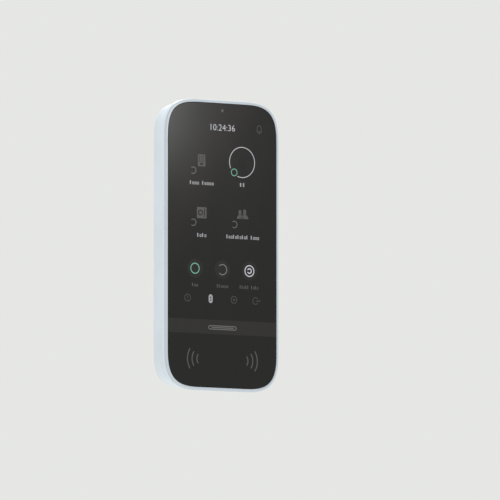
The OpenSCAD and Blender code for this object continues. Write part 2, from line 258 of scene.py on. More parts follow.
# ---------------------------------------------------------------- finishes
def moulded_plastic(name, colour, rough=0.42, grain=0.05, spread=0.05, specular=0.5):
    """Injection-moulded plastic: fine spark texture, faint flow clouds and worn sheen."""
    s = Shader(name, colour, rough, specular=specular)
    clouds = s.noise(38, 3, 0.6)
    spark = s.noise(2600, 2, 0.6)
    tone = s.range(clouds, 0.3, 0.7, 0.0, 1.0)
    s.set("Base Color", s.blend(shade(colour, 1 - spread), shade(colour, 1 + spread), tone))
    s.set("Roughness", s.range(spark + clouds * 0.4, 0.4, 1.0, rough - 0.08, rough + 0.1))
    s.bump(spark, grain * MM, 0.5)
    return s.material


def edged_plastic(name, body, edge, depth, rough=0.3):
    """Housing plastic whose front edge carries a thin silver lacquer, from that depth on."""
    s = Shader(name, body, rough, coat=0.35, specular=0.5)
    fleck = s.noise(5200, 1, 0.5)
    drift = s.noise(24, 2, 0.5)
    tone = s.range(fleck * 0.6 + drift * 0.4, 0.35, 0.65, 0.94, 1.05)
    front = s.range(0 - s.axis("Y"), (depth - 0.12) * MM, (depth + 0.12) * MM, 0.0, 1.0)
    colour = s.blend(body, edge, front)
    s.set("Base Color", s.scale(colour, tone))
    s.set("Roughness", s.range(drift, 0.3, 0.7, rough - 0.06, rough + 0.08))
    s.bump(s.noise(1400, 2, 0.5), 0.008 * MM, 0.4)
    return s.material


def lacquered_plastic(name, colour, rough=0.25):
    """Smooth lacquer over plastic, with a fine metallic fleck."""
    s = Shader(name, colour, rough, coat=0.6, specular=0.5)
    fleck = s.noise(5200, 1, 0.5)
    drift = s.noise(24, 2, 0.5)
    s.set("Base Color", s.blend(shade(colour, 0.95), shade(colour, 1.05),
                                s.range(fleck * 0.6 + drift * 0.4, 0.35, 0.65, 0.0, 1.0)))
    s.set("Roughness", s.range(drift, 0.3, 0.7, rough - 0.05, rough + 0.06))
    s.bump(s.noise(900, 2, 0.5), 0.004 * MM, 0.4)
    return s.material


def dark_glass(name, colour):
    """Polished cover glass with a printed black back, faint smears, a barely seen display and a
    painted warm reflection in a diagonal band.
    """
    s = Shader(name, colour, 0.2, specular=0.34)
    x, z = s.axis("X"), s.axis("Z")
    smear = s.noise(30, 4, 0.62, (1.0, 1.0, 0.45))
    speck = s.noise(1500, 2, 0.5)
    # painted reflection: the colour turns warmer and lighter in a diagonal band across the upper
    # left, in place of a reflection
    reflection_streak = s.node("ShaderNodeMath", {"operation": "ABSOLUTE"}, x * 0.84 - z * 0.55 + 34 * MM)
    painted_reflection = s.range(reflection_streak + smear * 0.012, 4 * MM, 22 * MM, 1.0, 0.0)
    tint = s.blend(colour, PAINTED_REFLECTION_TINT, painted_reflection)
    band_low, band_high = BAND
    band = (z > band_low * MM) * (1 - (z > band_high * MM))
    s.set("Base Color", s.blend(tint, BAND_COLOUR, band * s.range(speck, 0.3, 0.7, 0.85, 1.0)))
    s.set("Roughness", s.range(smear + speck * 0.3, 0.35, 0.95, 0.16, 0.25))
    s.bump(smear, 0.01 * MM, 0.25)
    return s.material


def lit_mark(name, colour, glow=1.0, specular=0.36):
    """A lit or printed mark on the glass, with the faint unevenness of a display."""
    s = Shader(name, shade(colour, 0.2), 0.3, specular=specular)
    dots = s.noise(3000, 1, 0.5)
    light = s.blend(shade(colour, 0.9), colour, s.range(dots, 0.3, 0.7, 0.0, 1.0))
    s.set("Emission Color", light)
    s.surface.inputs["Emission Strength"].default_value = glow
    s.set("Roughness", s.range(dots, 0.3, 0.7, 0.25, 0.36))
    return s.material


def rolled_metal(name, colour, rough=0.3, stretch=(1.0, 1.0, 30.0)):
    """Sheet or drawn metal with fine lines from rolling and a few dull patches."""
    s = Shader(name, colour, rough, metallic=1.0)
    lines = s.noise(260, 3, 0.6, stretch)
    dull = s.noise(90, 3, 0.6)
    s.set("Base Color", s.blend(shade(colour, 0.82), shade(colour, 1.06),
                                s.range(lines * 0.5 + dull * 0.5, 0.35, 0.65, 0.0, 1.0)))
    s.set("Roughness", s.range(dull, 0.3, 0.7, rough - 0.08, rough + 0.14))
    s.bump(lines, 0.006 * MM, 0.4)
    return s.material


def circuit_board(name, colour):
    """Solder mask over copper: bundles of traces both ways, tinned vias and a satin lacquer."""
    s = Shader(name, colour, 0.35, coat=0.3)
    upright = s.fold(s.axis("X"), TRACE_PITCH / 2) > 0.3 * TRACE_PITCH * MM
    level = s.fold(s.axis("Z"), TRACE_PITCH / 2) > 0.3 * TRACE_PITCH * MM
    turned = s.noise(45, 0, 0.5) > 0.5
    bundle = s.noise(85, 1, 0.5) > 0.48
    trace = bundle * (level * turned + upright * (1 - turned))
    via = 1 - (s.node("ShaderNodeTexVoronoi", {}, Vector=s.place, Scale=230.0) > 0.14)
    weave = s.noise(1400, 2, 0.5)
    tone = s.blend(shade(colour, 0.85), shade(colour, 1.6), trace * 0.8 + weave * 0.2)
    s.set("Base Color", s.blend(tone, VIA_COLOUR, via))
    s.set("Roughness", s.range(weave, 0.3, 0.7, 0.3, 0.45))
    s.bump(trace + via, 0.02 * MM, 0.5)
    return s.material


def wrapped_cell(name, colour, band):
    """A lithium cell's printed sleeve, with a band in a second colour round it."""
    s = Shader(name, colour, 0.3, coat=0.4)
    wrinkle = s.noise(240, 3, 0.6, (1.0, 0.3, 0.3))
    near_end = s.fold(s.axis("X"), 13.6) > 9.0 * MM
    s.set("Base Color", s.blend(colour, band, near_end * s.range(wrinkle, 0.2, 0.5, 0.8, 1.0)))
    s.set("Roughness", s.range(wrinkle, 0.3, 0.7, 0.22, 0.4))
    s.bump(wrinkle, 0.03 * MM, 0.4)
    return s.material


def soft_foam(name, colour):
    """Closed-cell foam or rubber with small pores, darker in their hollows as painted shade."""
    s = Shader(name, colour, 0.75, specular=0.3)
    pores = s.node("ShaderNodeTexVoronoi", {}, Vector=s.place, Scale=1600.0)
    # painted shade: the colour darkens at the pores' centres, where the bump makes them low
    s.set("Base Color", s.blend(shade(colour, 0.6), shade(colour, 1.4), pores))
    s.set("Roughness", s.range(pores, 0.0, 0.6, 0.65, 0.85))
    s.bump(pores, 0.05 * MM, 0.6)
    return s.material


BAND = (-50.4, -42.4)
BAND_COLOUR = (0.0145, 0.0135, 0.0125)
GLASS_COLOUR = (0.002, 0.0019, 0.0017)
# painted reflection: the warm, lighter colour of the glass's diagonal band
PAINTED_REFLECTION_TINT = (0.0062, 0.0042, 0.0028)
HOUSING_COLOUR = (0.72, 0.795, 0.87)
VIA_COLOUR = (0.42, 0.4, 0.33)
TRACE_PITCH = 0.9

FINISH = {
    "cover_glass": lambda: dark_glass("polished_cover_glass", GLASS_COLOUR),
    "bezel_silver": lambda: edged_plastic("silver_edged_rim", HOUSING_COLOUR, (0.5, 0.56, 0.625),
                                          CASE_D - 1.1),
    "housing_white": lambda: moulded_plastic("cool_white_housing", HOUSING_COLOUR, 0.45),
    "bracket_white": lambda: moulded_plastic("white_bracket", (0.74, 0.75, 0.75), 0.5, 0.08),
    "foam_tape": lambda: soft_foam("black_foam_tape", (0.02, 0.02, 0.02)),
    "display": lambda: dark_glass("display_polariser", (0.006, 0.006, 0.007)),
    "steel_tray": lambda: rolled_metal("pressed_tray_steel", (0.6, 0.61, 0.63)),
    "dark_plastic": lambda: moulded_plastic("dark_grey_plastic", (0.04, 0.042, 0.045), 0.5, 0.08),
    "flex_film": lambda: moulded_plastic("amber_film", (0.42, 0.17, 0.03), 0.3, 0.01, 0.15),
    "clear_plastic": lambda: moulded_plastic("frosted_light_guide", (0.75, 0.8, 0.84), 0.3),
    "led_body": lambda: moulded_plastic("led_package", (0.8, 0.78, 0.5), 0.35),
    "sensor_window": lambda: lacquered_plastic("tinted_sensor", (0.06, 0.02, 0.035), 0.15),
    "soft_rubber": lambda: soft_foam("soft_black_rubber", (0.012, 0.012, 0.012)),
    "circuit_board": lambda: circuit_board("green_circuit_board", (0.012, 0.09, 0.04)),
    "ferrite": lambda: moulded_plastic("ferrite_sheet", (0.05, 0.05, 0.055), 0.6, 0.06, 0.2),
    "tinned_steel": lambda: rolled_metal("tinned_sheet", (0.62, 0.62, 0.6), 0.28),
    "chip_plastic": lambda: moulded_plastic("moulded_epoxy", (0.015, 0.015, 0.016), 0.55, 0.06),
    "ivory_plastic": lambda: moulded_plastic("natural_nylon", (0.68, 0.64, 0.5), 0.45),
    "zinc_screw": lambda: rolled_metal("zinc_plate", (0.62, 0.64, 0.66), 0.24, (1, 1, 1)),
    "black_screw": lambda: rolled_metal("black_oxide", (0.06, 0.06, 0.065), 0.4, (1, 1, 1)),
    "nickel_strip": lambda: rolled_metal("nickel_strip", (0.62, 0.6, 0.54), 0.25),
    "lead_red": lambda: moulded_plastic("red_wire_jacket", (0.42, 0.02, 0.02), 0.4, 0.02),
    "spring_steel": lambda: rolled_metal("spring_wire", (0.5, 0.51, 0.53), 0.25, (1, 1, 1)),
    "green_plastic": lambda: moulded_plastic("green_terminal", (0.03, 0.22, 0.08), 0.42),
    "white_nylon": lambda: moulded_plastic("white_nylon", (0.78, 0.78, 0.74), 0.45),
    "button_plastic": lambda: moulded_plastic("grey_button", (0.33, 0.35, 0.37), 0.45),
    "cell_wrap": lambda: wrapped_cell("cell_sleeve", (0.5, 0.22, 0.03), (0.03, 0.03, 0.035)),
}
finishes = {slot: make() for slot, make in FINISH.items()}


def dress_frame():
    """Every CAD node takes the finish of its slot in the record."""
    for entry in frame["record"]["subparts"]:
        node = frame["nodes"][entry["node"]]
        node.data.materials.clear()
        node.data.materials.append(finishes[entry["material_slot"]])


# ---------------------------------------------------------------- modelling tools
def deselect():
    if bpy.context.object and bpy.context.object.mode != "OBJECT":
        bpy.ops.object.mode_set(mode="OBJECT")
    bpy.ops.object.select_all(action="DESELECT")


def only(obj):
    deselect()
    obj.select_set(True)
    bpy.context.view_layer.objects.active = obj


def edit():
    """Enters edit mode with every face selected."""
    bpy.ops.object.mode_set(mode="EDIT")
    bpy.ops.mesh.select_mode(type="FACE")
    bpy.ops.mesh.select_all(action="SELECT")


def leave():
    """Leaves edit mode and hands back the object."""
    bpy.ops.object.mode_set(mode="OBJECT")
    return bpy.context.object


def settle():
    """The object's place goes into its mesh."""
    bpy.ops.object.transform_apply(location=True, rotation=True, scale=True)


def panel(x, d, z, w, h):
    """A flat rectangle that faces the room, left in edit mode with its face selected."""
    deselect()
    bpy.ops.mesh.primitive_plane_add(size=1, location=place(x, d, z), rotation=(math.pi / 2, 0, 0))
    bpy.context.object.scale = (w * MM, h * MM, 1)
    settle()
    edit()


def disc(x, d, z, r, sides=32, turn=0.0):
    """A flat disc or polygon that faces the room, left in edit mode with its face selected."""
    deselect()
    bpy.ops.mesh.primitive_circle_add(vertices=sides, radius=r * MM, fill_type="NGON",
                                      location=place(x, d, z), rotation=(math.pi / 2, turn, 0))
    settle()
    edit()


def push(rise):
    """Moves the selected face towards the room and walls it in behind."""
    bpy.ops.mesh.extrude_region_move(TRANSFORM_OT_translate={"value": (0, -rise * MM, 0)})


def thicken(rise):
    """Turns the flat faces in edit mode into a closed plate."""
    bpy.ops.mesh.select_all(action="SELECT")
    push(rise)
    return close_up()


def close_up():
    """Welds the mesh in edit mode, turns it outwards and leaves edit mode."""
    bpy.ops.mesh.select_all(action="SELECT")
    bpy.ops.mesh.remove_doubles(threshold=1e-6)
    bpy.ops.mesh.normals_make_consistent(inside=False)
    return leave()


def outline_face(inset, d):
    """The case's outline as one face: a rectangle whose corners get the case's squarish bevel."""
    r = CORNER_R - SHRINK * inset
    panel(0, d, 0, CASE_W - 2 * inset, CASE_H - 2 * inset)
    bpy.ops.mesh.bevel(offset=r * MM, offset_type="OFFSET", segments=CORNER_STEPS,
                       profile=PROFILE, affect="VERTICES")
    bpy.ops.mesh.select_mode(type="FACE")
    bpy.ops.mesh.select_all(action="SELECT")


def stepped(start, steps, first, last):
    """The case's outline carried through steps of (inset, d), with or without its end faces."""
    inset, d = start
    outline_face(inset, d)
    for next_inset, next_d in steps:
        if next_inset > inset:
            bpy.ops.mesh.inset(thickness=(next_inset - inset) * MM, depth=(next_d - d) * MM,
                               use_boundary=True, use_even_offset=True)
        else:
            push(next_d - d)
        inset, d = next_inset, next_d
    obj = leave()
    big = 4 * CORNER_STEPS
    reached = [p.index for p in obj.data.polygons if p.select]
    for polygon in obj.data.polygons:
        kept = last if polygon.index in reached else first
        polygon.select = len(polygon.vertices) >= big and not kept
    if any(p.select for p in obj.data.polygons):
        bpy.ops.object.mode_set(mode="EDIT")
        bpy.ops.mesh.select_mode(type="FACE")
        bpy.ops.mesh.delete(type="ONLY_FACE")
        bpy.ops.object.mode_set(mode="OBJECT")
    return obj


def join(objects, name=None):
    """Several objects become one, which keeps its own mesh data."""
    deselect()
    for obj in objects:
        obj.select_set(True)
    bpy.context.view_layer.objects.active = objects[0]
    if len(objects) > 1:
        bpy.ops.object.join()
    obj = bpy.context.object
    if name:
        obj.name = name
    return obj


def weld(objects, name):
    obj = join(objects, name)
    edit()
    return close_up()


def cube(x0, x1, d0, d1, z0, z1):
    """A block between two corners, used to cut or to build on."""
    deselect()
    bpy.ops.mesh.primitive_cube_add(size=1, location=place((x0 + x1) / 2, (d0 + d1) / 2,
                                                           (z0 + z1) / 2))
    bpy.context.object.scale = ((x1 - x0) * MM, (d1 - d0) * MM, (z1 - z0) * MM)
    settle()
    return bpy.context.object


def rod(x, z, r, d0, d1, sides=40):
    """A round bar along the depth."""
    disc(x, d0, z, r, sides)
    push(d1 - d0)
    return close_up()


def rod_up(x, d, r, z0, z1, sides=40):
    """A round bar along the height."""
    deselect()
    bpy.ops.mesh.primitive_cylinder_add(vertices=sides, radius=r * MM, depth=(z1 - z0) * MM,
                                        location=place(x, d, (z0 + z1) / 2))
    settle()
    return bpy.context.object


def capsule(x0, x1, z0, z1, d0, d1):
    """A slot-shaped block with round ends, along x or z."""
    w, h = x1 - x0, z1 - z0
    panel((x0 + x1) / 2, d0, (z0 + z1) / 2, w, h)
    bpy.ops.mesh.bevel(offset=0.4999 * min(w, h) * MM, offset_type="OFFSET", segments=10,
                       profile=0.5, affect="VERTICES")
    bpy.ops.mesh.select_mode(type="FACE")
    return thicken(d1 - d0)


def repeat(obj, steps):
    """The object and copies of it, each with its own mesh, at steps of (x, z) from it."""
    copies = [obj]
    for x, z in steps:
        only(obj)
        bpy.ops.object.duplicate()
        bpy.ops.transform.translate(value=(x * MM, 0, z * MM))
        settle()
        copies.append(bpy.context.object)
    return copies


def boolean(obj, others, operation):
    tool = join(others)
    only(obj)
    modifier = obj.modifiers.new("cut", "BOOLEAN")
    modifier.operation = operation
    modifier.solver = "EXACT"
    modifier.use_self = operation == "UNION"
    modifier.object = tool
    bpy.ops.object.modifier_apply(modifier="cut")
    bpy.data.objects.remove(tool, do_unlink=True)
    return obj


def tidy(obj):
    """Merges the points that a cut leaves almost on top of each other."""
    only(obj)
    edit()
    bpy.ops.mesh.select_all(action="SELECT")
    bpy.ops.mesh.remove_doubles(threshold=3e-6)
    leave()


def soften(obj, width, segments=2, angle=35):
    """Rounds the edges over an angle and shades the rest smooth."""
    tidy(obj)
    modifier = obj.modifiers.new("edge", "BEVEL")
    modifier.width = width * MM
    modifier.segments = segments
    modifier.limit_method = "ANGLE"
    modifier.angle_limit = math.radians(angle)
    modifier.use_clamp_overlap = False
    modifier.miter_outer = "MITER_ARC"
    bpy.ops.object.modifier_apply(modifier="edge")
    return smooth(obj)


def smooth(obj, angle=32):
    """Smooth shading up to an angle, with normals that keep the large faces flat."""
    tidy(obj)
    bpy.ops.object.shade_smooth_by_angle(angle=math.radians(angle))
    modifier = obj.modifiers.new("flat", "WEIGHTED_NORMAL")
    modifier.keep_sharp = True
    bpy.ops.object.modifier_apply(modifier="flat")
    return obj


def finish(obj, name, body, slot, material=None, replaces=()):
    """Names a piece, gives it its finish and ties it to its body."""
    obj.name = obj.data.name = name
    obj.data.materials.clear()
    obj.data.materials.append(material or finishes[slot])
    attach(obj, body)
    if replaces:
        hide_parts(*replaces)
    return obj


# ---------------------------------------------------------------- the case
def arc_steps(inset0, d0, inset1, d1, count, first=True):
    """Steps along a quarter ellipse that leaves (inset0, d0) upright and reaches (inset1, d1)."""
    turns = [math.pi / 2 * i / count for i in range(0 if first else 1, count + 1)]
    return [(inset1 - (inset1 - inset0) * math.cos(t), d0 + (d1 - d0) * math.sin(t)) for t in turns]


def make_glass():
    across, down = GLASS_ROUND
    edge = arc_steps(RIM, GLASS_TOP - down, RIM + across, GLASS_TOP, 5)
    plate = stepped((RIM, GLASS_BACK), edge, first=True, last=True)
    only(plate)
    edit()
    glass = close_up()
    finish(smooth(glass, 20), "touch_glass", "keypad", "cover_glass", replaces=["cover_glass"])


def make_rim():
    """The bezel: a rolled outer edge, a flat bright band, the pocket, its ledge and the skirt."""
    bezel_back = CASE_D - 3.1
    pocket = RIM - 0.08
    ledge_front, ledge_back = GLASS_BACK - 0.25, 17.35
    ledge_in, skirt_out, skirt_in, skirt_end = 3.6, 3.0, 4.0, 14.0
    crest = CASE_D
    front = [(0.0, crest - 1.3)]
    front += arc_steps(0.0, crest - 1.3, 0.85, crest - 0.05, 6, first=False)
    front += [(0.95, crest), (pocket - 0.16, crest)]
    front += arc_steps(pocket - 0.16, crest, pocket, crest - 0.16, 3, first=False)
    front += [(pocket, ledge_front), (ledge_in, ledge_front), (ledge_in, ledge_back + 0.05),
              (skirt_in, ledge_back + 0.05), (skirt_in, skirt_end)]
    behind = [(pocket - 0.1, bezel_back), (pocket - 0.1, ledge_back - 0.05),
              (skirt_out, ledge_back - 0.05), (skirt_out, skirt_end), (skirt_in, skirt_end)]
    rim = weld([stepped((0.0, bezel_back), front, first=False, last=False),
                stepped((0.0, bezel_back), behind, first=False, last=False)], "rim")
    finish(smooth(rim, 40), "silver_rim", "keypad", "bezel_silver", replaces=["bezel_frame"])


WALL = 1.5                                     # thickness of the shell
POST_X, POST_Z = 27.0, (-34.0, 16.0, 66.0)     # the posts of the housing screws
HOOK_X, HOOK_Z = 18.0, (-30.0, 50.0)
HOOK_HALF = 2.8                                # half a hook's width
HOOK_TOP_D = 5.6                               # how deep the hooks reach into the shell
STEM, LIFT = 2.5, 8.0                          # a hook's stem, and the lift that frees it
WALL_SCREW_X, WALL_SCREW_Z = 22.0, 38.0
WALL_SCREW_R, WALL_HEAD_R = 2.1, 4.1           # hole and head recess of a wall screw
CABLE_HALF = 9.5                               # half the cable window's width
LUG_HALF, LUG_D = 4.6, 7.4                     # the lug that holds the holding screw
LUG_LOW, LUG_TOP = -81.0, -79.0
SCREW_D = 4.6                                  # depth of the holding screw's axis


def four_steps(width, height):
    """Steps from the lower left one of four to the other three."""
    return [(width, 0), (0, height), (width, height)]


def make_housing():
    """The rear shell: drafted side walls, a rounded back edge, and its windows and holes."""
    floor_d = BACK + WALL
    outer = [(SIDE_IN + 0.4, 7.4)] + arc_steps(SIDE_IN + 0.4, 7.4, SIDE_IN + 4.4, BACK, 9,
                                               first=False)
    inner = [(SIDE_IN + WALL, SEAM), (SIDE_IN + WALL + 0.4, 7.4)]
    inner += arc_steps(SIDE_IN + WALL + 0.4, 7.4, SIDE_IN + WALL + 3.6, floor_d, 6, first=False)
    shell = weld([stepped((SIDE_IN, SEAM), outer, first=False, last=True),
                  stepped((SIDE_IN, SEAM), inner, first=False, last=True)], "shell")
    outside, inside = BACK - 1, floor_d + 0.5
    low = POST_Z[0]
    post_steps = [(x, z - low) for x in (0, 2 * POST_X) for z in POST_Z][1:]
    hook_steps = four_steps(2 * HOOK_X, HOOK_Z[1] - HOOK_Z[0])
    posts = repeat(rod(-POST_X, low, 3.4, BACK + 0.5, 5.4), post_steps)
    screw_boss = cube(-8, 8, 2.8, 9, -79.6, -77.2)
    boolean(shell, posts + [screw_boss], "UNION")
    head_recesses = repeat(rod(-POST_X, low, 2.5, outside, 4.0), post_steps)
    hook_half = HOOK_HALF + 0.4
    hook_windows = repeat(cube(-HOOK_X - hook_half, -HOOK_X + hook_half, outside, inside,
                               HOOK_Z[0] - LIFT - 0.4, HOOK_Z[0] + STEM + 0.2), hook_steps)
    battery_window = cube(-28.5, 28.5, outside, inside, -75.75, -43.85)
    terminal_window = capsule(-CABLE_HALF, CABLE_HALF, 56, 70, outside, inside)
    tamper_hole = rod(0, 20, 1.6, outside, inside, 24)
    button_hole = rod(12, 32, 3.2, outside, inside)
    around = [(3 * math.cos(math.pi / 3 * i), 3 * math.sin(math.pi / 3 * i)) for i in range(6)]
    sound_holes = repeat(rod(-12, -14, 0.6, outside, inside, 16), around)
    boolean(shell, head_recesses + hook_windows
            + [battery_window, terminal_window, tamper_hole, button_hole] + sound_holes,
            "DIFFERENCE")
    lug_room = cube(-LUG_HALF - 0.6, LUG_HALF + 0.6, outside, LUG_D + 0.4, -84, LUG_TOP + 0.1)
    screw_way = rod_up(0, SCREW_D, 1.5, -80, -74)
    vent_steps = [(2.6 * i, 0) for i in (1, 2, 3, 9, 10, 11, 12)]
    vents = repeat(cube(-16.2, -15.0, 9, 13, -83, -75), vent_steps)
    boolean(shell, [lug_room, screw_way] + vents, "DIFFERENCE")
    holes = repeat(rod(-POST_X, low, 1.3, 3.0, 6.5, 24), post_steps)
    boolean(shell, holes, "DIFFERENCE")
    finish(smooth(shell, 30), "rear_shell", "keypad", "housing_white",
           replaces=["rear_housing"])


def make_bracket():
    """The wall bracket: a plate with an edge rib, screw bosses, hooks, lug and cable window."""
    plate_t, rib = 1.6, 2.2
    edge, rib_in = 6.2, 7.8
    front = [(edge, rib), (rib_in, rib), (rib_in, plate_t)]
    plate = weld([stepped((edge, 0.3), front, first=False, last=True),
                  stepped((edge, 0.3), [(edge + 0.3, 0.0)], first=False, last=True)], "plate")
    behind, beyond = -1, rib + 1
    screw_steps = four_steps(2 * WALL_SCREW_X, 2 * WALL_SCREW_Z)
    hook_steps = four_steps(2 * HOOK_X, HOOK_Z[1] - HOOK_Z[0])
    hook_left, hook_right, hook_z = -HOOK_X - HOOK_HALF, -HOOK_X + HOOK_HALF, HOOK_Z[0]
    bosses = repeat(rod(-WALL_SCREW_X, -WALL_SCREW_Z, 5, plate_t - 0.1, rib), screw_steps)
    lug_foot = cube(-LUG_HALF, LUG_HALF, 0, plate_t, LUG_LOW, -75)
    boolean(plate, bosses + [lug_foot], "UNION")
    hooks = repeat(cube(hook_left, hook_right, plate_t - 0.2, HOOK_TOP_D, hook_z, hook_z + STEM),
                   hook_steps)
    lug = cube(-LUG_HALF, LUG_HALF, plate_t - 0.2, LUG_D, LUG_LOW, LUG_TOP)
    boolean(plate, hooks + [lug], "UNION")
    tongues = repeat(cube(hook_left, hook_right, HOOK_TOP_D - 1.5, HOOK_TOP_D, hook_z + 0.5,
                          hook_z + 8.9), hook_steps)
    boolean(plate, tongues, "UNION")
    wall_holes = repeat(rod(-WALL_SCREW_X, -WALL_SCREW_Z, WALL_SCREW_R, behind, beyond),
                        screw_steps)
    level_slot = capsule(-6, 6, 44 - WALL_SCREW_R, 44 + WALL_SCREW_R, behind, beyond)
    tab_hole = rod(0, 8, WALL_SCREW_R, behind, beyond)
    cable_window = capsule(-CABLE_HALF, CABLE_HALF, 58, 68, behind, beyond)
    screw_hole = rod_up(0, SCREW_D, 1.4, LUG_LOW - 1, LUG_TOP + 1)
    tab_sides = repeat(capsule(-11.6, -10.4, -1, 12, behind, beyond), four_steps(22, 16))
    tab_ends = repeat(capsule(-9, -2, -2.6, -1.4, behind, beyond), four_steps(11, 31))
    grooves = repeat(cube(-26, 26, behind, 0.4, -66, -65), [(0, 3 * i) for i in range(1, 6)])
    boolean(plate, wall_holes + [level_slot, tab_hole, cable_window, screw_hole]
            + tab_sides + tab_ends + grooves, "DIFFERENCE")
    recesses = repeat(rod(-WALL_SCREW_X, -WALL_SCREW_Z, WALL_HEAD_R, 1.1, beyond), screw_steps)
    cable_channel = cube(-4, 4, behind, 0.8, 63, 80)
    screw_recess = rod_up(0, SCREW_D, 2.5, LUG_LOW - 1, LUG_TOP - 0.8)
    boolean(plate, recesses + [cable_channel, screw_recess], "DIFFERENCE")
    soften(plate, 0.14, 2, 50)
    finish(plate, "wall_bracket", "bracket", "bracket_white", replaces=["mounting_bracket"])


def make_holding_screw():
    """A pan-head screw seen from below, with a rounded head and a cross recess."""
    head_z, tip_z = SCREW[0][2] / MM, SCREW[1][2] / MM
    head = rod_up(0, SCREW_D, 2.3, head_z, head_z + 1.1)
    soften(head, 0.35, 3, 30)
    shank = rod_up(0, SCREW_D, 1.25, head_z + 1.0, tip_z, 24)
    boolean(head, [shank], "UNION")
    long, short = 1.4, 0.35
    for half_x, half_d in ((long, short), (short, long)):
        slot = cube(-half_x, half_x, SCREW_D - half_d, SCREW_D + half_d, head_z - 0.5,
                    head_z + 0.65)
        boolean(head, [slot], "DIFFERENCE")
    finish(smooth(head, 30), "lock_screw", "screw", "zinc_screw", replaces=["holding_screw"])


# ---------------------------------------------------------------- what the glass shows
SURFACE = GLASS_TOP


def bar(x0, x1, z0, z1, r=0.0, rise=PRINT_T):
    """A flat rectangle with rounded corners."""
    panel((x0 + x1) / 2, SURFACE, (z0 + z1) / 2, x1 - x0, z1 - z0)
    if r > 0:
        bpy.ops.mesh.bevel(offset=min(r, 0.499 * min(x1 - x0, z1 - z0)) * MM, offset_type="OFFSET",
                           segments=6, profile=0.5, affect="VERTICES")
        bpy.ops.mesh.select_mode(type="FACE")
    return thicken(rise)


def hollow(line, rise=PRINT_T):
    """The face in edit mode becomes a flat outline with that line width."""
    bpy.ops.mesh.select_mode(type="FACE")
    bpy.ops.mesh.select_all(action="SELECT")
    bpy.ops.mesh.inset(thickness=line * MM, use_boundary=True, use_even_offset=True)
    bpy.ops.mesh.delete(type="FACE")
    return thicken(rise)


def box_line(x0, x1, z0, z1, r, line):
    panel((x0 + x1) / 2, SURFACE, (z0 + z1) / 2, x1 - x0, z1 - z0)
    bpy.ops.mesh.bevel(offset=r * MM, offset_type="OFFSET", segments=6, profile=0.5,
                       affect="VERTICES")
    return hollow(line)


def ring(x, z, r, line, sides=64):
    """A closed flat ring whose line is centred on the radius."""
    disc(x, SURFACE, z, r + line / 2, sides)
    return hollow(line)


def dot(x, z, r, sides=24, turn=0.0, rise=PRINT_T):
    disc(x, SURFACE, z, r, sides, turn)
    return thicken(rise)


def arc(x, z, r, line, start, sweep, round_ends=True):
    """A stroke along a circle, from a start angle, counted from +x towards +z."""
    t = math.radians(start)
    deselect()
    at = place(x + r * math.cos(t), SURFACE + PRINT_T / 2, z + r * math.sin(t))
    bpy.ops.mesh.primitive_plane_add(size=1, location=at, rotation=(0, -t, 0))
    bpy.context.object.scale = (line * MM, PRINT_T * MM, 1)
    settle()
    edit()
    bpy.ops.mesh.spin(steps=max(6, int(abs(sweep) / 7)), angle=math.radians(sweep),
                      center=place(x, SURFACE, z), axis=(0, 1, 0))
    stroke = close_up()
    if not round_ends:
        return [stroke]
    ends = [math.radians(start), math.radians(start + sweep)]
    return [stroke] + [dot(x + r * math.cos(e), z + r * math.sin(e), line / 2, 12,
                           rise=PRINT_T * 0.9) for e in ends]


def caption(heights, x0, x1, z, size):
    """A line of small blocks in place of a word: 2 is a tall one, 1 a low one, a blank a gap."""
    pitch = (x1 - x0) / len(heights)
    foot = z - size / 2
    line = []
    for kind, right, top in (("1", 0.86, 0.72), ("2", 0.56, 1.0)):
        spots = [i for i, height in enumerate(heights) if height == kind]
        if not spots:
            continue
        left = x0 + (spots[0] + 0.12) * pitch
        width, tall = (right - 0.12) * pitch, top * size
        panel(left + width / 2, SURFACE, foot + tall / 2, width, tall)
        bpy.ops.mesh.bevel(offset=0.2 * width * MM, offset_type="OFFSET", segments=3, profile=0.5,
                           affect="VERTICES")
        block = hollow(0.24 * pitch) if kind == "1" else thicken(PRINT_T)
        line += repeat(block, [((i - spots[0]) * pitch, 0) for i in spots[1:]])
    return line


def digits(text, x, z, size):
    """Plain numerals, made a mesh before their place is set."""
    deselect()
    bpy.ops.object.text_add()
    numerals = bpy.context.object
    numerals.data.body = text
    numerals.data.size = size * MM
    numerals.data.align_x = "CENTER"
    numerals.data.align_y = "CENTER"
    numerals.data.extrude = PRINT_T * MM / 2
    numerals.data.resolution_u = 3
    numerals.data.offset = -0.012 * size * MM
    bpy.ops.object.convert(target="MESH")
    numerals = bpy.context.object
    numerals.location = place(x, SURFACE + PRINT_T / 2, z)
    numerals.rotation_euler = (math.pi / 2, 0, 0)
    settle()
    edit()
    return close_up()


def dome(x, z0, w, h):
    """Shoulders: half of an oval, cut off flat below."""
    disc(x, SURFACE, z0, 1.0, 32)
    bpy.ops.transform.resize(value=(w / 2, 1, h), center_override=place(x, SURFACE, z0))
    bpy.ops.mesh.bisect(plane_co=place(x, SURFACE, z0), plane_no=(0, 0, 1), clear_inner=True)
    return thicken(PRINT_T)


LIGHT = {
    "white": lit_mark("lit_white", (0.51, 0.51, 0.55)),
    "pale": lit_mark("lit_pale_white", (0.43, 0.43, 0.465)),
    "soft": lit_mark("lit_soft_white", (0.285, 0.285, 0.3)),
    "green": lit_mark("lit_green", (0.15, 0.385, 0.27)),
    "grey": lit_mark("lit_grey", (0.115, 0.113, 0.113)),
    "mist": lit_mark("lit_light_grey", (0.16, 0.158, 0.158)),
    "icon": lit_mark("lit_icon_grey", (0.07, 0.069, 0.069)),
    "dim": lit_mark("lit_dim", (0.06, 0.06, 0.06)),
    "veil": lit_mark("lit_veil", (0.0035, 0.0033, 0.003)),
    "shadow": lit_mark("unlit_mark", (0.004, 0.004, 0.004), 0.2, specular=0.12),
    "night": lit_mark("dark_symbol", (0.004, 0.004, 0.004), 0.2, specular=0.27),
}


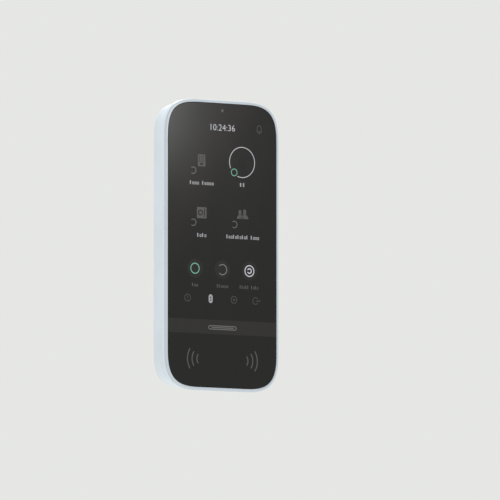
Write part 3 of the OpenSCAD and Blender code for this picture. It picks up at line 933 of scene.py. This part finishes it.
def show(name, parts, light):
    """One drawn element of the screen, which rides with the glass."""
    flat = []
    for part in parts:
        flat += part if isinstance(part, list) else [part]
    finish(join(flat), name, "keypad", "display", LIGHT[light])


def ring_gap(x, z, r, line, gap, middle=180):
    """A ring with a gap, centred on an angle."""
    return arc(x, z, r, line, middle + gap / 2, 360 - gap)


def make_top_line():
    show("screen_clock", [digits("10:24:36", -0.2, 66.7, 5.2)], "white")
    bell = [arc(25.1, 67.9, 1.35, 0.32, 0, 180),
            bar(23.6, 23.9, 65.9, 68.0), bar(26.3, 26.6, 65.9, 68.0),
            bar(23.1, 27.1, 65.6, 65.95, 0.15), dot(25.1, 64.9, 0.45, 16)]
    show("screen_bell", bell, "dim")
    show("light_sensor_dot", [dot(0, 76.6, 0.85)], "icon")


def make_zones():
    show("zone_building", [bar(-16.7, -11.7, 44.3, 51.0, 0.5)], "icon")
    pane_steps = [(1.45 * i, -1.35 * j) for i in range(3) for j in range(3)][1:]
    windows = repeat(dot(-15.65, 49.9, 0.42, 12, rise=PRINT_T * 1.3), pane_steps)
    windows += [bar(-15.2, -13.2, 45.1, 46.1, 0.2, PRINT_T * 1.3)]
    windows += [bar(-12.55, -12.05, 15.6, 20.3, 0.1, PRINT_T * 1.3)]
    show("zone_windows", windows, "shadow")
    show("zone_safe", [bar(-17.4, -10.9, 14.8, 21.1, 0.5)], "icon")
    lifted = PRINT_T * 0.3
    dial = ring(-15.0, 18.0, 1.35, 0.6, 32)
    only(dial)
    edit()
    bpy.ops.transform.translate(value=(0, -lifted * MM, 0))
    show("safe_dial", [leave()], "shadow")
    people = [bar(11.0, 12.9, 17.6, 20.8, 0.95), dome(12.0, 15.7, 4.4, 2.3),
              bar(14.1, 16.2, 17.6, 21.1, 1.05), dome(15.2, 15.7, 4.9, 2.5)]
    show("zone_people", people, "dim")
    open_ring = join(ring_gap(-19.9, 41.8, 1.85, 0.42, 110))
    show("open_rings", repeat(open_ring, [(0, -29.5), (28.0, -29.5)]), "grey")
    show("zone_ring", [arc(13.4, 47.8, 8.6, 0.44, 248, 317, False)], "pale")
    show("zone_armed_ring", [ring(8.0, 41.9, 1.95, 0.42, 40)], "green")
    lock = [bar(11.1, 15.7, 43.4, 47.4, 0.5), arc(13.4, 47.6, 1.6, 0.55, 0, 180)]
    show("zone_padlock", lock, "night")
    words = [caption("2111 21111", -22.4, -5.8, 34.9, 2.2), caption("22", 11.7, 15.7, 35.0, 2.2),
             caption("2121", -17.4, -10.8, 5.3, 2.2),
             caption("2112121212 2111", 2.5, 25.2, 5.3, 2.2)]
    show("zone_captions", words, "soft")


def make_modes():
    z = -13.7
    disc_steps = [(18.6, 0), (37.1, 0)]
    show("mode_discs", repeat(dot(-18.6, z, 5.4, 48, rise=PRINT_T * 0.4), disc_steps), "veil")
    show("mode_ring_armed", [ring(-18.7, z, 2.85, 0.52)], "green")
    show("mode_ring_off", [ring_gap(0, z, 2.9, 0.5, 95)], "mist")
    night = [ring(18.4, z, 3.05, 0.55), arc(18.4, z, 1.3, 0.6, 215, 290)]
    show("mode_ring_night", night, "white")
    names = [caption("211", -20.9, -16.4, -23, 2.0), caption("221111", -4.0, 4.1, -23, 2.0),
             caption("22122 2121", 11.6, 24.6, -23, 2.0)]
    show("mode_captions", names, "dim")


def make_tabs():
    z = -30.5
    show("tab_alert", [ring(-23.7, z, 2.0, 0.3, 40), bar(-23.85, -23.55, z - 0.3, z + 1.1, 0.1),
                       dot(-23.7, z - 1.0, 0.2, 12)], "dim")
    show("tab_zones", [bar(-9.4, -6.7, z - 2.45, z + 2.45, 1.3)], "soft")
    pill = repeat(dot(-8.05, z + 0.75, 0.45, 20, rise=PRINT_T * 1.3), [(0, -1.5)])
    show("tab_zones_holes", pill, "shadow")
    disc(7.8, SURFACE, z, 2.3, 6, math.radians(30))
    play = [hollow(0.3), dot(7.9, z, 0.85, 3, math.radians(90))]
    show("tab_scenes", play, "dim")
    leave_mark = [ring_gap(22.6, z, 1.9, 0.3, 80, 0), bar(23.0, 25.4, z - 0.15, z + 0.15),
                  dot(25.4, z, 0.6, 3, math.radians(90))]
    show("tab_leave", leave_mark, "dim")


def make_lower_marks():
    show("status_bar", [box_line(-9.6, 9.6, -47.9, -45.5, 1.15, 0.5),
                        bar(-7.6, 7.6, -46.95, -46.45, 0.24)], "grey")
    for side, name in ((-1, "reader_waves_left"), (1, "reader_waves_right")):
        waves = []
        for x, half in ((16.9, 2.35), (20.2, 3.85), (23.3, 5.45)):
            r = half / math.sin(math.radians(33))
            middle = 0 if side > 0 else 180
            waves += arc(side * (x + 0.5 - r), -64.8, r, 0.66, middle - 33, 66)
        show(name, waves, "icon")


# ---------------------------------------------------------------- build
add_camera()
add_stage()
dress_frame()
make_glass()
make_rim()
make_housing()
make_bracket()
make_holding_screw()
make_top_line()
make_zones()
make_modes()
make_tabs()
make_lower_marks()
